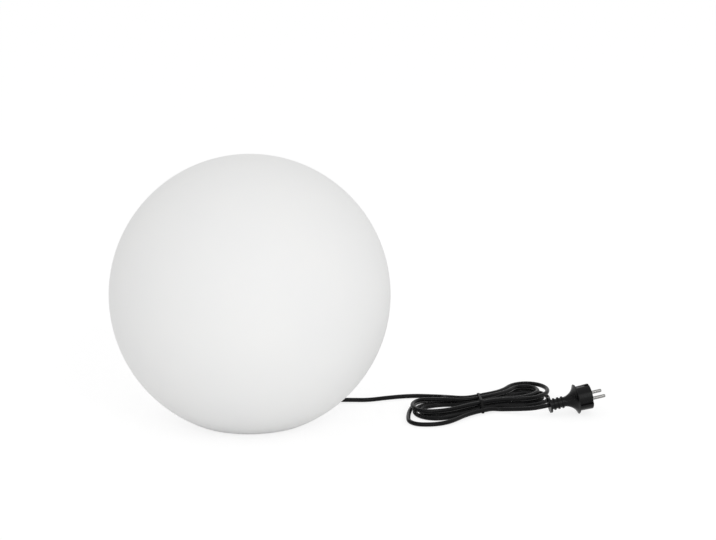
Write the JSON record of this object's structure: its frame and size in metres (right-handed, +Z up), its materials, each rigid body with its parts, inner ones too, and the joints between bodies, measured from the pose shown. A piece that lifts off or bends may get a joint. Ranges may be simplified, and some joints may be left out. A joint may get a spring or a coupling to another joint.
{
  "type": "garden globe light",
  "caption": "Round white garden light that rests on a black base, with a screw-in lamp inside and a plugged rubber cord in a tied hank.",
  "frame": {"origin": "on the floor, under the centre of the globe", "axes": "+Z up; +X towards the side where the plug lies; +Y away from the picture's viewer"},
  "size_m": [0.7108, 0.4, 0.3801],
  "materials": {
    "globe_plastic": "white translucent polyethylene, fine matte skin",
    "black_plastic": "moulded black, lightly textured",
    "gasket_rubber": "soft foam rubber",
    "foot_rubber": "matte",
    "screw_steel": "stainless",
    "brass": "turned, bright",
    "zinc_steel": "zinc plated",
    "holder_black": "black thermoset, semi-gloss",
    "lamp_white": "white, semi-gloss",
    "lamp_opal": "opal, satin",
    "lamp_cap_metal": "bright, rolled thread",
    "lamp_insulator": "black",
    "lamp_board": "white solder mask",
    "cord_rubber": "black rubber sheath, satin",
    "core_brown": "brown insulation",
    "core_blue": "blue insulation",
    "core_green_yellow": "green insulation with a yellow stripe",
    "end_cap": "clear-white crimp cap",
    "tie_black": "black",
    "plug_rubber": "moulded black rubber, satin",
    "plug_bridge_black": "moulded black",
    "pin_nickel": "nickel plated brass, satin"
  },
  "bodies": {
    "base": {"base_gasket": "gasket_rubber", "base_plate": "black_plastic", "base_screws": "screw_steel", "cable_tie": "tie_black", "centre_contact": "brass", "clamp_screws": "zinc_steel", "column_screws": "zinc_steel", "cord_clamp": "black_plastic", "cord_grommet": "gasket_rubber", "cord_hank": "cord_rubber", "cord_lead": "cord_rubber", "cord_plug_lead": "cord_rubber", "core_earth": "core_green_yellow", "core_line": "core_brown", "core_neutral": "core_blue", "earth_end_cap": "end_cap", "holder_cap": "holder_black", "holder_insert": "holder_black", "holder_sleeve": "holder_black", "inner_cord": "cord_rubber", "lamp_column": "black_plastic", "locknut": "zinc_steel", "nipple": "zinc_steel", "plug_body": "plug_rubber", "plug_bridge": "plug_bridge_black", "plug_earth_contacts": "pin_nickel", "plug_pins": "pin_nickel", "rubber_feet": "foot_rubber", "screw_shell": "brass", "strain_relief": "cord_rubber", "terminal_screws": "zinc_steel"},
    "globe": {"globe_shell": "globe_plastic", "boss_inserts": "brass"},
    "bulb_tip": {"bulb_tip_contact": "brass", "bulb_insulator": "lamp_insulator"},
    "bulb": {"bulb_cap_shell": "lamp_cap_metal", "bulb_body": "lamp_white", "bulb_diffuser": "lamp_opal", "led_board": "lamp_board"}
  },
  "joints": [
    {"name": "globe_lift", "type": "slide", "parent": "base", "child": "globe", "axis": [0, 0, 1], "range_m": [0, 0.23]},
    {"name": "bulb_out", "type": "slide", "parent": "base", "child": "bulb_tip", "axis": [0, 0, 1], "range_m": [0, 0.0273]},
    {"name": "bulb_turn", "type": "hinge", "parent": "bulb_tip", "child": "bulb", "pos_m": [0, 0, 0.13], "axis": [0, 0, 1], "range_deg": [0, 2700]}
  ],
  "couplings": [
    {"joint": "bulb_out", "follows": "bulb_turn", "m_per_rad": 0.00057757}
  ]
}
